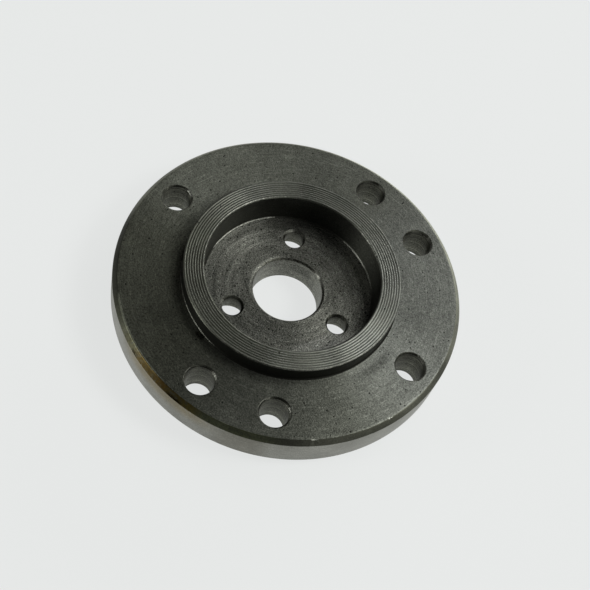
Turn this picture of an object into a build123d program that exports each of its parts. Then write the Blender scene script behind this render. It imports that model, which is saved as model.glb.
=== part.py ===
from build123d import *
import os

# Flange that fastens a lathe chuck to a spindle, turned from one grey iron casting.
# The bore axis is Z. The chuck seats on the back face of the plate, at Z 0, and the spindle's
# nose comes from +Z. The bolt hole that both chuck patterns share lies on -X.

# Through bore
bore_dia = 20.2
bore_front_edge = 0.5
bore_back_edge = 0.4

# Three holes that clear the M5 spindle screws, with seats for their heads sunk in the back
spindle_hole_count = 3
spindle_hole_first_angle = 0
spindle_hole_dia = 5.5
spindle_hole_edge = 0.5
head_seat_dia = 10.5
head_seat_depth = 6.0
head_seat_edge = 0.2
bore_to_head_seat = 2.15

# Recess that takes the nose of the spindle
floor_thick = 6.0
hole_to_recess_wall = 4.75
recess_edge = 0.4
recess_corner = 0.4

# Ring that stands round the recess
ring_wall = 6.0
ring_height = 5.0
ring_edge = 0.3
ring_root = 0.3

# Turned grooves on the end of the ring
groove_pitch = 0.71
groove_width = 0.58
groove_depth = 0.1

# Holes that clear the M8 chuck bolts: two patterns on one circle, with one hole in common
chuck_hole_counts = (3, 4)
shared_hole_angle = 180
chuck_hole_dia = 8.2
chuck_hole_edge = 0.3
ring_to_hole = 6.4

# Register behind the plate that centres the chuck
register_height = 3.5
register_edge = 0.5
register_to_hole = 1.9

# Plate
plate_thick = 11.0
hole_to_rim = 4.4
rim_front_chamfer = 1.3
rim_back_chamfer = 0.5

# How far a cutting shape runs past the face it opens on
overrun = 1.0

# Diameters from the bore outwards, each set by the metal left between the features
spindle_pcd = bore_dia + 2 * bore_to_head_seat + head_seat_dia
recess_dia = spindle_pcd + spindle_hole_dia + 2 * hole_to_recess_wall
ring_dia = recess_dia + 2 * ring_wall
chuck_pcd = ring_dia + chuck_hole_dia + 2 * ring_to_hole
register_dia = chuck_pcd - chuck_hole_dia - 2 * register_to_hole
plate_dia = chuck_pcd + chuck_hole_dia + 2 * hole_to_rim

# Radii and the top of the ring, used by the turned section
bore_radius = bore_dia / 2
recess_radius = recess_dia / 2
ring_radius = ring_dia / 2
register_radius = register_dia / 2
plate_radius = plate_dia / 2
ring_top = plate_thick + ring_height


# Outside of the section, from the register's end round the back, rim and front to the ring's edge
def outer_edges():
    return Polyline(
        (bore_radius + bore_back_edge, -register_height),
        (register_radius - register_edge, -register_height),
        (register_radius, register_edge - register_height),
        (register_radius, 0),
        (plate_radius - rim_back_chamfer, 0),
        (plate_radius, rim_back_chamfer),
        (plate_radius, plate_thick - rim_front_chamfer),
        (plate_radius - rim_front_chamfer, plate_thick),
        (ring_radius + ring_root, plate_thick),
        (ring_radius, plate_thick + ring_root),
        (ring_radius, ring_top - ring_edge),
        (ring_radius - ring_edge, ring_top),
    )


# End face of the ring, from its outer edge inwards over as many V grooves as it has room for
def ring_end_edges():
    outer_radius = ring_radius - ring_edge
    inner_radius = recess_radius + recess_edge
    groove_count = int((outer_radius - inner_radius) / groove_pitch)
    first_centre = (outer_radius + inner_radius + (groove_count - 1) * groove_pitch) / 2
    points = [(outer_radius, ring_top)]
    for index in range(groove_count):
        centre = first_centre - index * groove_pitch
        points += [
            (centre + groove_width / 2, ring_top),
            (centre, ring_top - groove_depth),
            (centre - groove_width / 2, ring_top),
        ]
    points.append((inner_radius, ring_top))
    return Polyline(points)


# Inside of the section, down the recess wall, over its floor and down the bore
def inner_edges():
    return Polyline(
        (recess_radius + recess_edge, ring_top),
        (recess_radius, ring_top - recess_edge),
        (recess_radius, floor_thick + recess_corner),
        (recess_radius - recess_corner, floor_thick),
        (bore_radius + bore_front_edge, floor_thick),
        (bore_radius, floor_thick - bore_front_edge),
        (bore_radius, bore_back_edge - register_height),
        (bore_radius + bore_back_edge, -register_height),
    )


# The turned body, before any hole is drilled
def turned_body():
    section = make_face(Curve() + [outer_edges(), ring_end_edges(), inner_edges()])
    return revolve(Plane.XZ * section, Axis.Z)


# A hole for one chuck bolt, with its edge broken on both faces of the plate
def chuck_bolt_hole():
    radius = chuck_hole_dia / 2
    wide_radius = radius + chuck_hole_edge + overrun
    half_section = Polyline(
        (0, -overrun),
        (wide_radius, -overrun),
        (radius, chuck_hole_edge),
        (radius, plate_thick - chuck_hole_edge),
        (wide_radius, plate_thick + overrun),
        (0, plate_thick + overrun),
        close=True,
    )
    return revolve(Plane.XZ * make_face(half_section), Axis.Z)


# A hole for one spindle screw, which widens at the back into the seat for its head
def spindle_screw_hole():
    radius = spindle_hole_dia / 2
    seat_radius = head_seat_dia / 2
    half_section = Polyline(
        (0, -register_height - overrun),
        (seat_radius + head_seat_edge + overrun, -register_height - overrun),
        (seat_radius, head_seat_edge - register_height),
        (seat_radius, head_seat_depth - register_height),
        (radius, head_seat_depth - register_height),
        (radius, floor_thick - spindle_hole_edge),
        (radius + spindle_hole_edge + overrun, floor_thick + overrun),
        (0, floor_thick + overrun),
        close=True,
    )
    return revolve(Plane.XZ * make_face(half_section), Axis.Z)


# Angles of one evenly spaced bolt pattern
def pattern_angles(first, count):
    return {(first + index * 360 / count) % 360 for index in range(count)}


# The same hole repeated round a bolt circle
def hole_circle(hole, pcd, angles):
    return [Rot(0, 0, angle) * Pos(pcd / 2, 0, 0) * hole for angle in sorted(angles)]


chuck_angles = set()
for count in chuck_hole_counts:
    chuck_angles |= pattern_angles(shared_hole_angle, count)
spindle_angles = pattern_angles(spindle_hole_first_angle, spindle_hole_count)

flange = turned_body()
flange -= hole_circle(chuck_bolt_hole(), chuck_pcd, chuck_angles)
flange -= hole_circle(spindle_screw_hole(), spindle_pcd, spindle_angles)

os.makedirs("parts", exist_ok=True)
export_step(flange, "parts/flange.step")
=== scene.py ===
import bpy
import bmesh
import math
from mathutils import Matrix, Vector, noise


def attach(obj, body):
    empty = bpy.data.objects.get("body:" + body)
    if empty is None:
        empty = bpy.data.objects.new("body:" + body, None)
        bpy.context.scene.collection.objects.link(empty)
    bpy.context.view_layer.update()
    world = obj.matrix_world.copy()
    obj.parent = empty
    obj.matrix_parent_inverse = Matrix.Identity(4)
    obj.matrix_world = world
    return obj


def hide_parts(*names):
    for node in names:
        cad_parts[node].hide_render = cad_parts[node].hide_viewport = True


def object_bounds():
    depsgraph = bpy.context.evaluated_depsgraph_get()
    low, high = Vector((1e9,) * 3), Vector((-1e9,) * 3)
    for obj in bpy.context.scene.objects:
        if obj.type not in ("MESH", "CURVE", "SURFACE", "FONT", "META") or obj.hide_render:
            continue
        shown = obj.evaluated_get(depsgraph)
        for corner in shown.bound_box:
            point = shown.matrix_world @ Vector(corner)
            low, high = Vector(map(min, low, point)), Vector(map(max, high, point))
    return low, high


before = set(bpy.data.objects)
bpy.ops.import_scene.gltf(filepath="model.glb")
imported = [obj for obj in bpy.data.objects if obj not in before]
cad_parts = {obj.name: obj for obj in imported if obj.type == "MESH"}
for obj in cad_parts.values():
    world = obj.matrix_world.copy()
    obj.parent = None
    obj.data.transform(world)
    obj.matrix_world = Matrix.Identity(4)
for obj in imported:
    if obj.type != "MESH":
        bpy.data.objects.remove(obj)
cad_low, cad_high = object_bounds()

# Plate of the flange: a grey iron casting about as wide as a hand, faced and turned on a lathe. Its
# outer edge is broken at the front by a wide chamfer and at the back by a narrow one. Each turned
# part runs a short land onto the flats beside it. Sizes are in mm, and MM turns them to metres.
MM = 0.001
merge_gap = MM / 1000
plate_radius = cad_high.x / MM
plate_thick = 11.0
rim_front_chamfer = 1.3
rim_back_chamfer = 0.5
edge_round = 0.12
edge_segments = 3
land = 0.8
turned_steps = 660
wedge_count = 12

casting = bmesh.new()
turned_mesh = bpy.data.meshes.new("turned_section")
casting_mesh = bpy.data.meshes.new("flange_casting")


# Turns a section of (radius, height, rounding) corners round an upright axis. One wedge is spun
# and the others are copies of it, which is much quicker than one long spin. The metal that stands
# above lean_from can be pushed sideways by lean, most at the first corner.
def turn(corners, finish, steps=turned_steps, centre=(0, 0), lean=(0, 0), lean_from=0):
    axis_point = Vector((*centre, 0)) * MM
    wedge = bmesh.new()
    points = [axis_point + Vector((radius, 0, height)) * MM for radius, height, rounding in corners]
    verts = [wedge.verts.new(point) for point in points]
    for pair in zip(verts, verts[1:]):
        wedge.edges.new(pair)
    for vert, (radius, height, rounding) in zip(verts, corners):
        if rounding:
            bmesh.ops.bevel(
                wedge, geom=[vert], offset=rounding * MM, offset_type="OFFSET",
                segments=edge_segments, profile=0.5, affect="VERTICES", material=-1,
            )
    bmesh.ops.spin(
        wedge, geom=wedge.verts[:] + wedge.edges[:], cent=axis_point, axis=(0, 0, 1),
        dvec=(0, 0, 0), angle=math.tau / wedge_count, steps=steps // wedge_count,
    )
    bmesh.ops.spin(
        wedge, geom=wedge.verts[:] + wedge.edges[:] + wedge.faces[:], cent=axis_point,
        axis=(0, 0, 1), dvec=(0, 0, 0), angle=math.tau * (wedge_count - 1) / wedge_count,
        steps=wedge_count - 1, use_duplicate=True,
    )
    bmesh.ops.remove_doubles(wedge, verts=wedge.verts, dist=merge_gap)
    if any(lean):
        first_height = corners[0][1]
        for vert in wedge.verts:
            share = max(0, (vert.co.z / MM - lean_from) / (first_height - lean_from))
            vert.co += Vector((*lean, 0)) * MM * share
    for face in wedge.faces:
        face.material_index = finish
    wedge.to_mesh(turned_mesh)
    wedge.free()
    casting.from_mesh(turned_mesh)


# Turns an sRGB hex colour to the linear values that a shader reads
def linear(hex_colour):
    channels = [int(hex_colour[start:start + 2], 16) / 255 for start in (1, 3, 5)]
    levels = [c / 12.92 if c <= 0.04045 else ((c + 0.055) / 1.055) ** 2.4 for c in channels]
    return (*levels, 1)


# Adds a node, sets its properties, and sets or links its inputs
def add_node(tree, kind, inputs=None, **properties):
    node = tree.nodes.new(kind)
    for name, value in properties.items():
        setattr(node, name, value)
    for name, value in (inputs or {}).items():
        if isinstance(value, bpy.types.NodeSocket):
            tree.links.new(value, node.inputs[name])
        else:
            node.inputs[name].default_value = value
    return node


# Where a point of the surface lies, in mm: its place, its distance from the bore axis, its height,
# and the direction that points from the axis to it
def add_place(tree):
    place = add_node(tree, "ShaderNodeTexCoord").outputs["Object"]
    in_mm = add_node(
        tree, "ShaderNodeVectorMath", {0: place, "Scale": 1 / MM}, operation="SCALE"
    ).outputs["Vector"]
    flat = add_node(
        tree, "ShaderNodeVectorMath", {0: in_mm, 1: (1, 1, 0)}, operation="MULTIPLY"
    ).outputs["Vector"]
    reach = add_node(tree, "ShaderNodeVectorMath", {0: flat}, operation="LENGTH").outputs["Value"]
    height = add_node(tree, "ShaderNodeSeparateXYZ", {0: in_mm}).outputs["Z"]
    outward = add_node(
        tree, "ShaderNodeVectorMath", {0: flat}, operation="NORMALIZE"
    ).outputs["Vector"]
    return in_mm, reach, height, outward


# Machined grey iron, dark with oil: the tool leaves fine rings and short scratches along its path,
# and the graphite in the metal leaves a speckle and small black pores. It gives the eye a dull grey
# with a soft sheen that fans out from the middle, because the rings scatter light across
# themselves. Speckle and scratches are drawn about 0.3 mm coarse, where the real ones are a tenth
# of that, so that they show. The rings follow the height alone where reach_share is 0, as in a
# drilled hole, and flat says that the metal lies level, so that each pore shows. The finish joins
# the casting's own list, and its number there is returned.
def machined_iron(
    name, colour, roughness, grain, rings, ring_mm, pore_share, reach_share=1, flat=False
):
    material = bpy.data.materials.new(name)
    material.use_nodes = True
    tree = material.node_tree
    shader = tree.nodes["Principled BSDF"]
    in_mm, reach, height, outward = add_place(tree)
    along = add_node(
        tree, "ShaderNodeVectorMath", {0: (0, 0, 1), 1: outward}, operation="CROSS_PRODUCT"
    ).outputs["Vector"]
    across = add_node(
        tree, "ShaderNodeMath", {0: reach, 1: reach_share, 2: height}, operation="MULTIPLY_ADD"
    ).outputs[0]
    across = add_node(tree, "ShaderNodeCombineXYZ", {"Z": across}).outputs[0]

    # Rings, then scratches: width, patches in a turn, detail, and the noise that spans the tones
    scratch_mm = 0.28
    tool_marks = []
    for width, patches, detail, (low, high), (dark, bright) in (
        (ring_mm, 2, 2.0, (0.3, 0.7), (1 - rings, 1 + rings)),
        (scratch_mm, 14, 1.0, (0.56, 0.72), (1.0, 1 + grain)),
    ):
        place = add_node(
            tree, "ShaderNodeVectorMath", {0: across, "Scale": 1 / width}, operation="SCALE"
        ).outputs["Vector"]
        place = add_node(
            tree, "ShaderNodeVectorMath",
            {0: outward, 1: (patches * reach_share,) * 3, 2: place}, operation="MULTIPLY_ADD",
        ).outputs["Vector"]
        mark = add_node(
            tree, "ShaderNodeTexNoise", {"Vector": place, "Scale": 1.0, "Detail": detail}
        ).outputs["Fac"]
        tool_marks.append(add_node(
            tree, "ShaderNodeMapRange",
            {"Value": mark, "From Min": low, "From Max": high, "To Min": dark, "To Max": bright},
        ).outputs["Result"])
    ring_tone, scratch_tone = tool_marks

    # Speckle, then clouds of oil: size, detail, how far the tone swings, and whether it is capped
    grain_mm = 0.35
    cloud_mm = 8.0
    cloud_swing = 0.14
    patterns = []
    for size, detail, swing, capped in (
        (grain_mm, 1.5, grain, False), (cloud_mm, 4.0, cloud_swing, True),
    ):
        pattern = add_node(
            tree, "ShaderNodeTexNoise",
            {"Vector": in_mm, "Scale": 1 / size, "Detail": detail, "Roughness": 0.6},
        ).outputs["Fac"]
        patterns.append(add_node(
            tree, "ShaderNodeMapRange",
            {
                "Value": pattern, "From Min": 0.3, "From Max": 0.7,
                "To Min": 1 - swing, "To Max": 1 + swing,
            },
            clamp=capped,
        ).outputs["Result"])
    grain_tone, tone = patterns

    # Pores: one cell in so many holds a round pore, of a size that its own chance gives
    pore_spacing = 1.2
    largest_pore = 0.27
    pore_edge = 0.06
    pore_dark = 0.22
    cells = add_node(
        tree, "ShaderNodeTexVoronoi", {"Vector": in_mm, "Scale": 1 / pore_spacing},
        voronoi_dimensions="2D" if flat else "3D",
    ).outputs
    cell_chance = add_node(tree, "ShaderNodeSeparateColor", {0: cells["Color"]}).outputs["Red"]
    pore_radius = add_node(
        tree, "ShaderNodeMapRange",
        {
            "Value": cell_chance, "From Min": 1 - pore_share, "From Max": 1.0,
            "To Min": 0.0, "To Max": largest_pore,
        },
    ).outputs["Result"]
    pore = add_node(
        tree, "ShaderNodeMath", {0: pore_radius, 1: cells["Distance"]}, operation="SUBTRACT"
    ).outputs[0]
    pore = add_node(
        tree, "ShaderNodeMapRange",
        {"Value": pore, "From Min": 0.0, "From Max": pore_edge, "To Min": 0.0, "To Max": 1.0},
    ).outputs["Result"]
    pore_tone = add_node(
        tree, "ShaderNodeMapRange", {"Value": pore, "To Min": 1.0, "To Max": pore_dark}
    ).outputs["Result"]

    for layer in (ring_tone, scratch_tone, grain_tone, pore_tone):
        tone = add_node(
            tree, "ShaderNodeMath", {0: tone, 1: layer}, operation="MULTIPLY"
        ).outputs[0]
    shade = add_node(
        tree, "ShaderNodeVectorMath", {0: linear(colour)[:3], "Scale": tone}, operation="SCALE"
    ).outputs["Vector"]
    tree.links.new(shade, shader.inputs["Base Color"])
    tree.links.new(along, shader.inputs["Tangent"])

    # Relief: what is pale in the rings and the speckle stands up a little, and the pores are sunk
    relief_mm = 0.04
    relief_strength = 0.5
    pore_sink = -1.5
    relief = add_node(
        tree, "ShaderNodeMath", {0: ring_tone, 1: grain_tone}, operation="ADD"
    ).outputs[0]
    relief = add_node(
        tree, "ShaderNodeMath", {0: pore, 1: pore_sink, 2: relief}, operation="MULTIPLY_ADD"
    ).outputs[0]
    relief = add_node(
        tree, "ShaderNodeBump",
        {"Height": relief, "Strength": relief_strength, "Distance": relief_mm * MM},
    ).outputs["Normal"]
    tree.links.new(relief, shader.inputs["Normal"])
    shader.inputs["Metallic"].default_value = 1.0
    shader.inputs["Roughness"].default_value = roughness
    shader.inputs["Anisotropic"].default_value = 0.6
    shader.inputs["Anisotropic Rotation"].default_value = 0.25
    casting_mesh.materials.append(material)
    return len(casting_mesh.materials) - 1


# Reaches past the flange on both sides, for a mark that no radius or no height bounds
anywhere = (-100, 100)


# Stains part of a finish, or paints light or shade onto it: the metal's own colour is multiplied by
# gain, one number or one for each of red, green and blue. The mark lies round one angle, between
# two radii and two
# heights, and dies out over fade. It is full inside core, a share of half_angle. Ragged says how
# far noise breaks it up into flecks: at 0 it is whole.
def add_mark(
    finish, gain, angle, half_angle,
    core=0.5, radii=anywhere, heights=anywhere, fade=0.5, ragged=0.6,
):
    tree = casting_mesh.materials[finish].node_tree
    shader = tree.nodes["Principled BSDF"]
    in_mm, reach, height, outward = add_place(tree)
    turned = math.radians(angle)
    facing = add_node(
        tree, "ShaderNodeVectorMath",
        {0: outward, 1: (math.cos(turned), math.sin(turned), 0)}, operation="DOT_PRODUCT",
    ).outputs["Value"]
    outer, inner = math.cos(math.radians(half_angle)), math.cos(math.radians(half_angle * core))
    mask = add_node(
        tree, "ShaderNodeMapRange", {"Value": facing, "From Min": outer, "From Max": inner}
    ).outputs["Result"]
    for value, low, high in ((reach, *radii), (height, *heights)):
        rise = add_node(
            tree, "ShaderNodeMapRange", {"Value": value, "From Min": low - fade, "From Max": low}
        ).outputs["Result"]
        fall = add_node(
            tree, "ShaderNodeMapRange",
            {
                "Value": value, "From Min": high, "From Max": high + fade,
                "To Min": 1.0, "To Max": 0.0,
            },
        ).outputs["Result"]
        for side in (rise, fall):
            mask = add_node(
                tree, "ShaderNodeMath", {0: mask, 1: side}, operation="MULTIPLY"
            ).outputs[0]
    fleck_mm = 0.9
    fleck_contrast = 6 * ragged
    flecks = add_node(
        tree, "ShaderNodeTexNoise", {"Vector": in_mm, "Scale": 1 / fleck_mm, "Detail": 3.0}
    ).outputs["Fac"]
    flecks = add_node(
        tree, "ShaderNodeMath", {0: flecks, 1: fleck_contrast, 2: 1 - fleck_contrast / 2},
        operation="MULTIPLY_ADD", use_clamp=True,
    ).outputs[0]
    cover = add_node(tree, "ShaderNodeMath", {0: mask, 1: flecks}, operation="MULTIPLY").outputs[0]
    clean = shader.inputs["Base Color"].links[0].from_socket
    gains = gain if isinstance(gain, tuple) else (gain,) * 3
    marked = add_node(
        tree, "ShaderNodeMix", {0: cover, 6: clean, 7: (*gains, 1)}, data_type="RGBA",
        blend_type="MULTIPLY",
    ).outputs[2]
    tree.links.new(marked, shader.inputs["Base Color"])


# Front and back of the plate, each faced by one slow pass of the tool: dull and evenly speckled. On
# the front, painted light makes it paler on the right and at the far left, painted shade darkens it
# at the near left, and painted highlights run as thin bright lines along parts of its outer edge.
faced = machined_iron(
    "faced_grey_iron", "#5b5d55", roughness=0.5, grain=0.45, rings=0.1, ring_mm=0.45,
    pore_share=0.12, flat=True,
)
dirt = (0.15, 0.14, 0.12)
front = (10, 12)
# Painted highlight on the right and at the far left, painted shade at the near left, and two
# painted highlights along the outer edge; then a spot of dirt at the root of the ring and a dark
# smudge on the right
add_mark(faced, (1.33, 1.33, 1.42), 28, 62, heights=front, ragged=0.1)
add_mark(faced, (0.62, 0.62, 0.58), 228, 55, heights=front, ragged=0.1)
add_mark(faced, 1.2, 135, 24, heights=front, ragged=0.1)
add_mark(faced, 3, 244, 18, core=0.8, radii=(48.45, 49), fade=0.2, ragged=0.3)
add_mark(faced, 1.4, 344, 38, radii=(48.3, 49), fade=0.15)
add_mark(faced, dirt, 255, 3, radii=(31.2, 32.6), heights=(10.8, 11.2))
add_mark(faced, 0.6, 350, 12, radii=(34, 35.2), heights=front, fade=1)

# Chamfer of the rim, turned and then left oily: dark. Painted light makes it much paler over the
# far half and paler on the right, a painted highlight runs as a bright line along its top edge at
# the near left, and it is paler over two short stretches beside the rust. Rust has browned it over
# a short stretch, with two black spots of dirt at its ends.
chamfered = machined_iron(
    "broken_edge_iron", "#41423a", roughness=0.45, grain=0.2, rings=0.1, ring_mm=0.3, pore_share=0,
)
# Painted light over the far half and on the right, a paler stretch, then a painted highlight along
# the top edge at the near left
add_mark(chamfered, 3.2, 104, 96, core=0.9, ragged=0)
add_mark(chamfered, 1.4, 358, 20)
add_mark(chamfered, (1.25, 1.25, 1.15), 238, 12, core=0.7)
add_mark(chamfered, (2.6, 2.7, 2.8), 243, 17, core=0.8, heights=(10.88, 11.1), fade=0.1, ragged=0.3)
add_mark(chamfered, (0.68, 0.64, 0.54), 250, 12)
add_mark(chamfered, (1.05, 0.78, 0.42), 256, 9)
add_mark(chamfered, (1.0, 0.75, 0.35), 268, 10)
add_mark(chamfered, (1.7, 1.8, 1.4), 286, 18)
add_mark(chamfered, dirt, 248.3, 2, heights=(9.6, 9.9), ragged=0.8)
add_mark(chamfered, dirt, 267.5, 3.4, heights=(9.6, 10), ragged=0.8)

# Side of the rim, turned fine: the palest and smoothest metal, with a brown stain under the rust
rim_turned = machined_iron(
    "fine_turned_rim_iron", "#86867f", roughness=0.4, grain=0.2, rings=0.05, ring_mm=0.3,
    pore_share=0,
)
add_mark(rim_turned, (0.86, 0.76, 0.58), 262, 22, heights=(7.6, 10), fade=3.5, ragged=0.3)
add_mark(rim_turned, (0.72, 0.7, 0.66), 291, 10, ragged=0.3)

rim_front_edge = plate_radius - rim_front_chamfer
rim_back_edge = plate_radius - rim_back_chamfer
turn([
    (rim_front_edge - land, plate_thick, 0),
    (rim_front_edge, plate_thick, edge_round),
    (plate_radius, plate_thick - rim_front_chamfer, edge_round),
    (plate_radius, rim_back_chamfer, edge_round),
    (rim_back_edge, 0, edge_round),
    (rim_back_edge - land, 0, 0),
], rim_turned)
level_from = 0.99
for face in casting.faces:
    middle = face.calc_center_median() / MM
    if middle.z > plate_thick - rim_front_chamfer and abs(face.normal.z) < level_from:
        face.material_index = chamfered

# Ring round the recess that takes the nose of the spindle: it stands up from the plate and is
# turned with it. Its end carries seven fine hollow grooves, left by the tool, with narrow ridges
# between them.
ring_radius = 31.0
ring_height = 5.0
ring_edge = 0.3
ring_root = 0.3
recess_radius = 25.0
recess_edge = 0.4
recess_corner = 0.4
floor_height = 6.0
groove_count = 7
groove_pitch = 0.71
groove_width = 0.58
groove_depth = 0.14
groove_points = 4

ring_top = plate_thick + ring_height
end_outer = ring_radius - ring_edge
end_inner = recess_radius + recess_edge

# Section of the ring's end: from its outer edge inwards, each groove is a shallow curve
first_groove = (end_outer + end_inner + (groove_count - 1) * groove_pitch) / 2
ring_end = []
for groove in range(groove_count):
    centre = first_groove - groove * groove_pitch
    for point in range(groove_points + 1):
        side = 1 - 2 * point / groove_points
        sink = groove_depth * (1 - side ** 2)
        ring_end.append((centre + side * groove_width / 2, ring_top - sink, 0))

# Bottoms of the grooves, dark with oil, and the ridges between them, rubbed clean and paler. The
# first four marks lie on both and are painted light and shade: brighter on the right, darker at the
# near left, the far left and the near right. The others paint the ridges and the grooves brighter
# or darker round the ring, as highlight and shade.
grooved = machined_iron(
    "grooved_ring_iron", "#51534b", roughness=0.48, grain=0.3, rings=0.1, ring_mm=0.45,
    pore_share=0.1, flat=True,
)
ridged = machined_iron(
    "ring_ridge_iron", "#6b6d65", roughness=0.44, grain=0.15, rings=0.1, ring_mm=0.45,
    pore_share=0.03, flat=True,
)
for finish in (grooved, ridged):
    # Painted light on the right and painted shade elsewhere, on ridges and grooves alike
    add_mark(finish, (1.3, 1.3, 1.35), 22, 50, ragged=0.1)
    add_mark(finish, (0.75, 0.75, 0.72), 225, 75, ragged=0.1)
    add_mark(finish, (0.65, 0.65, 0.66), 166, 32, ragged=0.1)
    add_mark(finish, (0.9, 0.9, 0.92), 340, 24, ragged=0.1)
# Painted highlight and shade, angle by angle, on the ridges and the grooves
for angle, half_angle, ridge_gain, groove_gain in (
    (14, 22, 1.3, 1.3), (75, 50, 0.88, 1.03), (105, 20, 0.82, 0.9), (135, 18, 1.2, 1.25),
    (190, 22, 1.2, 0.96), (252, 40, 0.8, 1.08), (308, 20, 1.5, 1.15),
):
    add_mark(ridged, ridge_gain, angle, half_angle, ragged=0)
    add_mark(grooved, groove_gain, angle, half_angle, ragged=0)

# Walls of the ring, turned and blackened by oil, and made darker still by painted shade. Outside, a
# painted highlight runs along the broken edge at the top on the near left, and painted shade
# darkens the wall under it and on the right. Inside, a painted reflection makes the wall paler at
# the far right, and painted shade darkens it at the far left.
walled = machined_iron(
    "turned_wall_iron", "#2d2e29", roughness=0.5, grain=0.2, rings=0.1, ring_mm=0.3,
    pore_share=0.03,
)
recess_walled = machined_iron(
    "recess_wall_iron", "#33342f", roughness=0.5, grain=0.42, rings=0.1, ring_mm=0.3,
    pore_share=0.03,
)
# Painted highlight on the top edge at the near left, painted shade under it and on the right;
# inside, a painted reflection at the far right and painted shade at the far left
add_mark(walled, 6, 232, 34, core=0.7, heights=(15.75, 16.1), fade=0.1, ragged=0.2)
add_mark(walled, 0.6, 232, 34, core=0.7, heights=(11, 15.6), fade=0.1, ragged=0)
add_mark(walled, 0.5, 345, 60, ragged=0.1)
add_mark(recess_walled, 1.8, 58, 26, ragged=0)
add_mark(recess_walled, 0.75, 150, 32, ragged=0)

turn([
    (ring_radius + ring_root + land, plate_thick, 0),
    (ring_radius + ring_root, plate_thick, edge_round),
    (ring_radius, plate_thick + ring_root, edge_round),
    (ring_radius, ring_top - ring_edge, edge_round),
    (end_outer, ring_top, edge_round / 2),
    *ring_end,
    (end_inner, ring_top, edge_round),
    (recess_radius, ring_top - recess_edge, edge_round),
    (recess_radius, floor_height + recess_corner, edge_round),
    (recess_radius - recess_corner, floor_height, edge_round),
    (recess_radius - recess_corner - land, floor_height, 0),
], walled)
end_from = ring_top - 1.5 * groove_depth
ridge_from = ring_top - 0.4 * groove_depth
steepest_end = 0.6
for face in casting.faces:
    middle = face.calc_center_median() / MM
    if face.material_index == walled:
        if middle.z > end_from and abs(face.normal.z) > steepest_end:
            face.material_index = ridged if middle.z > ridge_from else grooved
        elif math.hypot(middle.x, middle.y) < end_inner:
            face.material_index = recess_walled

# Bore for bar stock, through the middle of the casting, and the low round register behind the
# plate that centres the chuck. Both are turned, with narrow broken edges.
bore_radius = 10.1
bore_front_edge = 0.5
bore_back_edge = 0.4
register_radius = 35.5
register_height = 3.5
register_edge = 0.5

# Wall of the bore, bored in one pass and wiped by the bar: pale, with soft rings, and darker along
# its broken edge at the front, over the far side and on the right. Painted light brightens the wall
# on the far right, and painted shade darkens it on the far left and deep down on the far side.
bored = machined_iron(
    "bored_iron", "#73746c", roughness=0.45, grain=0.6, rings=0.2, ring_mm=0.5, pore_share=0.2,
)
bore_wall = (-4, 5.4)
bore_break = (5.6, 6.1)
add_mark(bored, (0.3, 0.3, 0.28), 116, 62, core=0.8, heights=bore_break, fade=0.1)
add_mark(bored, (0.45, 0.45, 0.43), 18, 34, core=0.7, heights=bore_break, fade=0.1)
# Painted light on the far right, painted shade on the far left and deep down on the far side
add_mark(bored, (1.25, 1.25, 1.27), 45, 24, heights=bore_wall, ragged=0.3)
add_mark(bored, 0.82, 130, 22, heights=bore_wall, ragged=0.3)
add_mark(bored, 0.6, 97, 22, heights=(1, 4), fade=1)
turn([
    (bore_radius + bore_front_edge + land, floor_height, 0),
    (bore_radius + bore_front_edge, floor_height, edge_round),
    (bore_radius, floor_height - bore_front_edge, edge_round),
    (bore_radius, bore_back_edge - register_height, edge_round),
    (bore_radius + bore_back_edge, -register_height, edge_round),
    (bore_radius + bore_back_edge + land, -register_height, 0),
], bored)
turn([
    (register_radius - register_edge - land, -register_height, 0),
    (register_radius - register_edge, -register_height, edge_round),
    (register_radius, register_edge - register_height, edge_round),
    (register_radius, 0, 0),
    (register_radius + land, 0, 0),
], rim_turned)

# Bolt holes: six for M8 bolts to the chuck, on one circle outside the ring, and three for M5 screws
# to the spindle, whose heads sink into seats at the back. All are drilled, and the front edge of
# each was broken by hand, so the break is wider on one side.
chuck_circle_radius = 41.5
chuck_hole_radius = 4.1
chuck_front_edge = 0.4
chuck_back_edge = 0.3
screw_circle_radius = 17.5
screw_hole_radius = 2.75
screw_front_edge = 0.5
head_seat_radius = 5.25
head_seat_top = 2.5
head_seat_edge = 0.2
hole_land = 0.3
hole_steps = 96

# Walls of the holes: drilled, with the drill's coarse rings. Painted shade darkens the wall just
# under the ledge that the screw heads bear on.
drilled = machined_iron(
    "drilled_iron", "#64655b", roughness=0.5, grain=0.5, rings=0.75, ring_mm=0.7, pore_share=0.3,
    reach_share=0,
)
# Painted shade under the ledge of the screw-head seats
add_mark(
    drilled, (0.45, 0.45, 0.43), 240, 180, core=0.95, radii=(12, 23),
    heights=(head_seat_top - 1, head_seat_top), ragged=0.5,
)

# Breaks of the hole edges: scraped by hand and uneven. Painted shade darkens them on the side that
# the light misses, and a painted highlight brightens part of the wide side. The same bright metal
# is painted highlight on the casting's other edges, and real wear at a few nicks.
hand_broken = machined_iron(
    "hand_broken_edge_iron", "#50514a", roughness=0.55, grain=0.6, rings=0.1, ring_mm=0.3,
    pore_share=0.4,
)
shaded_break = machined_iron(
    "painted_shade_break_iron", "#34352f", roughness=0.5, grain=0.5, rings=0.1, ring_mm=0.3,
    pore_share=0,
)
worn_and_highlit = machined_iron(
    "worn_and_highlit_edge_iron", "#64655e", roughness=0.45, grain=0.6, rings=0.1, ring_mm=0.3, pore_share=0,
)
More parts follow.
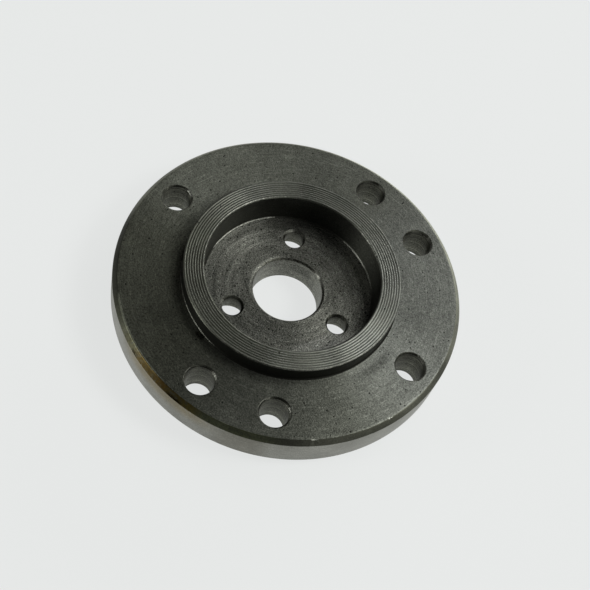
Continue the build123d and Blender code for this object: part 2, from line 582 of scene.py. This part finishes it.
# Painted highlights on the recess edge and the rim edge, real wear brighter at the nicks on the
# bore's edge, and the painted highlight at the ring's root toned down
add_mark(worn_and_highlit, 1.4, 165, 45, core=0.8, radii=(24, 25.7), fade=0.1)
add_mark(worn_and_highlit, 1.7, 326, 20, core=0.8, radii=(48, 50), fade=0.1)
add_mark(worn_and_highlit, 2, 67, 12, radii=(10, 10.8), fade=0.1, ragged=0)
add_mark(worn_and_highlit, (0.6, 0.6, 0.58), 240, 60, core=0.9, radii=(30.9, 31.4), fade=0.1, ragged=0.2)


# How far apart two directions are, in degrees
def angle_between(one, other):
    return abs((one - other + 180) % 360 - 180)


# Drills the same hole at several places. Each place is the angle of the hole, the angle of the wide
# side of its break, how far the break stands off centre in mm, the share of it painted bright as a
# highlight, and the middle and half of the angle over which painted shade darkens it.
def drill(circle_radius, corners, break_from, places):
    for angle, wide_side, offset, highlight_share, shaded_side, shaded_half in places:
        turned, wide = math.radians(angle), math.radians(wide_side)
        centre = (circle_radius * math.cos(turned), circle_radius * math.sin(turned))
        lean = (offset * math.cos(wide), offset * math.sin(wide))
        faces_before = len(casting.faces)
        turn(corners, drilled, hole_steps, centre, lean, break_from)
        casting.faces.ensure_lookup_table()
        for face in casting.faces[faces_before:]:
            middle = face.calc_center_median() / MM
            side = math.degrees(math.atan2(middle.y - centre[1], middle.x - centre[0]))
            if middle.z > break_from:
                face.material_index = hand_broken
                # Painted highlight on the wide side, painted shade on the side that the light
                # misses
                if angle_between(side, wide_side) < highlight_share * 180:
                    face.material_index = worn_and_highlit
                elif angle_between(side, shaded_side) < shaded_half:
                    face.material_index = shaded_break


drill(chuck_circle_radius, [
    (chuck_hole_radius + chuck_front_edge + hole_land, plate_thick, 0),
    (chuck_hole_radius + chuck_front_edge, plate_thick, edge_round),
    (chuck_hole_radius, plate_thick - chuck_front_edge, edge_round),
    (chuck_hole_radius, chuck_back_edge, edge_round),
    (chuck_hole_radius + chuck_back_edge, 0, edge_round),
    (chuck_hole_radius + chuck_back_edge + hole_land, 0, 0),
], plate_thick - chuck_front_edge, (
    (0, 50, 0.1, 0, 200, 105),
    (60, 75, 0.4, 0, 175, 105),
    (90, 60, 0.1, 0, 175, 90),
    (180, 65, 0.05, 0.1, 165, 78),
    (270, 55, 0.15, 0.08, 120, 42),
    (300, 50, 0.1, 0.06, 95, 48),
))
drill(screw_circle_radius, [
    (screw_hole_radius + screw_front_edge + hole_land, floor_height, 0),
    (screw_hole_radius + screw_front_edge, floor_height, edge_round),
    (screw_hole_radius, floor_height - screw_front_edge, edge_round),
    (screw_hole_radius, head_seat_top, edge_round / 2),
    (head_seat_radius, head_seat_top, 0),
    (head_seat_radius, head_seat_edge - register_height, edge_round / 2),
    (head_seat_radius + head_seat_edge, -register_height, edge_round / 2),
    (head_seat_radius + head_seat_edge + hole_land, -register_height, 0),
], floor_height - screw_front_edge, (
    (0, 110, 0.2, 0, 200, 130),
    (120, 130, 0.2, 0.05, 270, 75),
    (240, 110, 0.1, 0, 40, 140),
))

# Flat faces of the casting: the front and back of the plate, the floor of the recess and the end of
# the register, each faced off in one pass. They close the surface between the turned parts and the
# The floor shows the most graphite pores and broad rings. Painted highlights brighten the edge
# round the bore, the outer floor on the right and three turning bands on the left; painted light
# lifts the shade at the far right, and painted shade darkens the floor near the bore on the left
# and at the far left.
recessed = machined_iron(
    "faced_recess_iron", "#60615a", roughness=0.42, grain=0.72, rings=0.28, ring_mm=1.2,
    pore_share=0.55, flat=True,
)
# Painted highlights round the bore's edge, painted shade near the bore on the left, painted
# highlights on the outer floor at the right, painted light at the far right and painted shade at
# the far left
add_mark(recessed, 1.8, 178, 45, core=0.7, radii=(10.5, 11.1), fade=0.4)
add_mark(recessed, 1.6, 0, 50, core=0.7, radii=(10.5, 11.0), fade=0.4)
add_mark(recessed, 0.86, 165, 50, radii=(10.5, 15), fade=1, ragged=0.2)
add_mark(recessed, (1.35, 1.35, 1.4), 335, 28, radii=(18.5, 22.5), fade=1.5, ragged=0.2)
add_mark(recessed, (1.35, 1.35, 1.38), 347, 24, radii=(21, 25), fade=1, ragged=0.2)
add_mark(recessed, 1.5, 57, 38, radii=(21, 25), fade=1, ragged=0.2)
add_mark(recessed, 0.7, 128, 20, radii=(20, 25), fade=1, ragged=0.2)
# Painted highlights: three turning bands on the left of the floor
highlight_bands = (17.1, 18.9, 20.6)
half_band = 0.2
for band in highlight_bands:
    add_mark(recessed, 1.35, 178, 44, radii=(band - half_band, band + half_band), ragged=0.4)

flats = (
    (plate_thick, 1, faced),
    (floor_height, 1, recessed),
    (0, -1, faced),
    (-register_height, -1, faced),
)
for height, outward, finish in flats:
    rims = [
        edge for edge in casting.edges
        if edge.is_boundary
        and all(abs(vert.co.z - height * MM) < merge_gap for vert in edge.verts)
    ]
    bmesh.ops.triangle_fill(
        casting, use_beauty=False, use_dissolve=False, edges=rims, normal=(0, 0, outward)
    )

# Bright lines on the turned edges: most are painted highlights where a rounded edge catches the
# light, and those at the nicks in the rim and the bore are real wear, rubbed bright. Each row gives
# the radii, the heights and the angles that hold one bright edge, and the share of it that is
# bright: noise breaks it up into dashes, unless the share is well over 1, and both its ends die
# out.
worn_and_highlit_edges = (
    ((48.4, 49.1), (10.6, 11.1), (312.5, 314.7), 1.4),
    ((48.4, 49.1), (10.6, 11.1), (339, 341), 1.4),
    ((30.6, 30.95), (15.7, 16.1), (262, 380), 0.9),
    ((31.0, 31.3), (10.95, 11.15), (206, 268), 1.5),
    ((25.2, 25.5), (15.75, 16.1), (130, 240), 0.9),
    ((25.0, 25.5), (15.6, 16.1), (44, 78), 0.5),
    ((24.6, 24.9), (6.0, 6.2), (40, 84), 0.9),
    ((24.6, 24.9), (6.0, 6.2), (135, 195), 1.1),
    ((10.1, 10.7), (5.5, 6.0), (61, 75), 1.7),
    ((10.1, 10.7), (5.5, 6.0), (50, 56), 0.9),
)
dash_mm = 2.5
end_steepness = 6
flat_within = 0.01
for face in casting.faces:
    middle = face.calc_center_median() / MM
    reach = math.hypot(middle.x, middle.y)
    around = math.degrees(math.atan2(middle.y, middle.x))
    is_level = abs(face.normal.z) > level_from
    for height, outward, finish in flats:
        if is_level and abs(middle.z - height) < flat_within:
            face.material_index = finish
    chance = 0.5 + noise.noise(middle / dash_mm)
    for (inner, outer), (low, high), (first, last), share in worn_and_highlit_edges:
        if inner < reach < outer and low < middle.z < high and not is_level:
            along = (around - first) % 360 / (last - first)
            ends = min(1, end_steepness * along, end_steepness * (1 - along))
            if along < 1 and chance < share * ends:
                face.material_index = worn_and_highlit
    face.smooth = True
bmesh.ops.remove_doubles(casting, verts=casting.verts, dist=merge_gap)
bmesh.ops.recalc_face_normals(casting, faces=casting.faces)

# Uneven depth of the grooves: the end of the ring isn't quite flat, so the tool has cut them deeper
# on two opposite sides, where the light picks them out
deep_side = math.radians(172)
mean_depth_share = 0.85
depth_swing = 0.38
for vert in casting.verts:
    place = vert.co / MM
    sunk = ring_top - place.z
    if end_inner < math.hypot(place.x, place.y) < end_outer and 0 < sunk < 2 * groove_depth:
        swing = math.cos(2 * (math.atan2(place.y, place.x) - deep_side))
        vert.co.z = (ring_top - sunk * (mean_depth_share + depth_swing * swing)) * MM

# Small dents knocked into the edges by tools and other parts. Each row gives the angle, the radius
# and the height of one, its width and its depth.
dents = (
    (62.5, 10.4, 5.75, 0.5, 0.14),
    (66.5, 10.4, 5.75, 0.4, 0.1),
    (71, 10.4, 5.75, 0.55, 0.16),
    (313.5, 48.8, 10.9, 0.6, 0.12),
    (340, 48.8, 10.9, 0.5, 0.12),
    (196, 25.3, 15.9, 0.5, 0.12),
    (54, 25.3, 15.9, 0.6, 0.14),
    (63, 25.3, 15.9, 0.5, 0.12),
    (131, 25.3, 15.9, 0.5, 0.1),
)
sharp_from = math.radians(28)
casting.normal_update()
for angle, radius, height, width, depth in dents:
    turned = math.radians(angle)
    middle = Vector((radius * math.cos(turned), radius * math.sin(turned), height)) * MM
    for vert in casting.verts:
        near = 1 - (vert.co - middle).length / (width * MM)
        if near > 0:
            vert.co -= vert.normal * depth * MM * near ** 2
casting.to_mesh(casting_mesh)
casting.free()
casting_mesh.set_sharp_from_angle(angle=sharp_from)
casting_body = bpy.data.objects.new("flange_casting", casting_mesh)
bpy.context.collection.objects.link(casting_body)
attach(casting_body, "root")
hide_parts("flange")

# Table that the flange lies on: plain white card. The eye sees it as an even pale grey, and the
# flange darkens it a little where it keeps the light off. The metal mirrors that same grey.
table_size = 12.0
card_share = 0.88
table_mesh = bpy.data.meshes.new("table")
table_sheet = bmesh.new()
bmesh.ops.create_grid(table_sheet, x_segments=1, y_segments=1, size=table_size / 2)
bmesh.ops.translate(table_sheet, vec=(0, 0, cad_low.z), verts=table_sheet.verts)
table_sheet.to_mesh(table_mesh)
table_sheet.free()
table = bpy.data.objects.new("table", table_mesh)
bpy.context.collection.objects.link(table)

white_card = bpy.data.materials.new("white_card")
white_card.use_nodes = True
card_tree = white_card.node_tree
card_shader = card_tree.nodes["Principled BSDF"]
card_shader.inputs["Base Color"].default_value = linear("#e6e8e7")
card_shader.inputs["Roughness"].default_value = 0.9
rays = add_node(card_tree, "ShaderNodeLightPath").outputs
seen = rays["Is Camera Ray"]
for kind in ("Is Glossy Ray", "Is Transmission Ray"):
    seen = add_node(
        card_tree, "ShaderNodeMath", {0: seen, 1: rays[kind]}, operation="MAXIMUM"
    ).outputs[0]
seen = add_node(
    card_tree, "ShaderNodeMath", {0: seen, 1: card_share}, operation="MULTIPLY"
).outputs[0]
card_glow = add_node(
    card_tree, "ShaderNodeEmission", {"Color": linear("#e8eae9"), "Strength": 1.0}
).outputs[0]
card_mix = add_node(
    card_tree, "ShaderNodeMixShader", {0: seen, 1: card_shader.outputs[0], 2: card_glow}
).outputs[0]
card_tree.links.new(card_mix, card_tree.nodes["Material Output"].inputs["Surface"])
table_mesh.materials.append(white_card)

# Light: a dim even room and five soft lamps. The main one stands on the right and behind, with a
# wide one above it; a low strip lights the far side, and two low lamps the left and right edges.
room = bpy.data.worlds.new("room")
room.use_nodes = True
bpy.context.scene.world = room
room_tree = room.node_tree
room_light = room_tree.nodes["Background"]
room_light.inputs["Color"].default_value = linear("#ffffff")
room_light.inputs["Strength"].default_value = 0.08
room_rays = add_node(room_tree, "ShaderNodeLightPath").outputs
room_seen = add_node(
    room_tree, "ShaderNodeBackground", {"Color": linear("#e8eae9"), "Strength": 1.0}
).outputs[0]
room_mix = add_node(
    room_tree, "ShaderNodeMixShader",
    {0: room_rays["Is Camera Ray"], 1: room_light.outputs[0], 2: room_seen},
).outputs[0]
room_tree.links.new(room_mix, room_tree.nodes["World Output"].inputs["Surface"])


# A flat lamp that faces the flange. Its place is given in degrees and metres, and its width and
# height in metres. Its glow is how bright its surface is, where white paper is 1.
def soft_lamp(name, azimuth, elevation, distance, width, height, glow):
    lamp_data = bpy.data.lights.new(name, "AREA")
    lamp_data.shape = "RECTANGLE"
    lamp_data.size = width
    lamp_data.size_y = height
    lamp_data.energy = math.pi * width * height * glow
    lamp = bpy.data.objects.new(name, lamp_data)
    flat = math.cos(math.radians(elevation)) * distance
    lamp.location = (
        flat * math.cos(math.radians(azimuth)),
        flat * math.sin(math.radians(azimuth)),
        math.sin(math.radians(elevation)) * distance,
    )
    lamp.rotation_euler = (-lamp.location).to_track_quat("-Z", "Y").to_euler()
    bpy.context.collection.objects.link(lamp)


soft_lamp("main_lamp", azimuth=27, elevation=47, distance=1.8, width=0.55, height=0.55, glow=17.5)
soft_lamp("wide_lamp", azimuth=55, elevation=55, distance=1.8, width=1.6, height=1.0, glow=2.1)
soft_lamp("far_strip", azimuth=90, elevation=12, distance=2.0, width=1.6, height=0.5, glow=10)
soft_lamp("left_lamp", azimuth=226, elevation=16, distance=2.0, width=0.5, height=0.7, glow=14)
soft_lamp("right_lamp", azimuth=340, elevation=25, distance=2.0, width=0.8, height=0.8, glow=1.8)

# Camera: above the front left of the flange, looking down at it, and held a little askew. It
# stands about 0.3 m away and has a short telephoto lens.
camera_aim = Vector((3.751, -3.142, 11.0)) * MM
camera_distance = 306.69 * MM
camera_azimuth = math.radians(-70.861)
camera_elevation = math.radians(57.877)
camera_roll = math.radians(19.622)
camera_lens = 66.508
sensor_width = 36
nearest_seen = 0.01
towards_camera = Vector((
    math.cos(camera_elevation) * math.cos(camera_azimuth),
    math.cos(camera_elevation) * math.sin(camera_azimuth),
    math.sin(camera_elevation),
))
camera_data = bpy.data.cameras.new("camera")
camera_data.lens = camera_lens
camera_data.sensor_width = sensor_width
camera_data.clip_start = nearest_seen
camera = bpy.data.objects.new("camera", camera_data)
level_turn = (-towards_camera).to_track_quat("-Z", "Y").to_matrix()
camera.matrix_world = Matrix.LocRotScale(
    camera_aim + towards_camera * camera_distance,
    level_turn @ Matrix.Rotation(camera_roll, 3, "Z"),
    None,
)
bpy.context.collection.objects.link(camera)
bpy.context.scene.camera = camera
bpy.context.scene.view_settings.view_transform = "Standard"
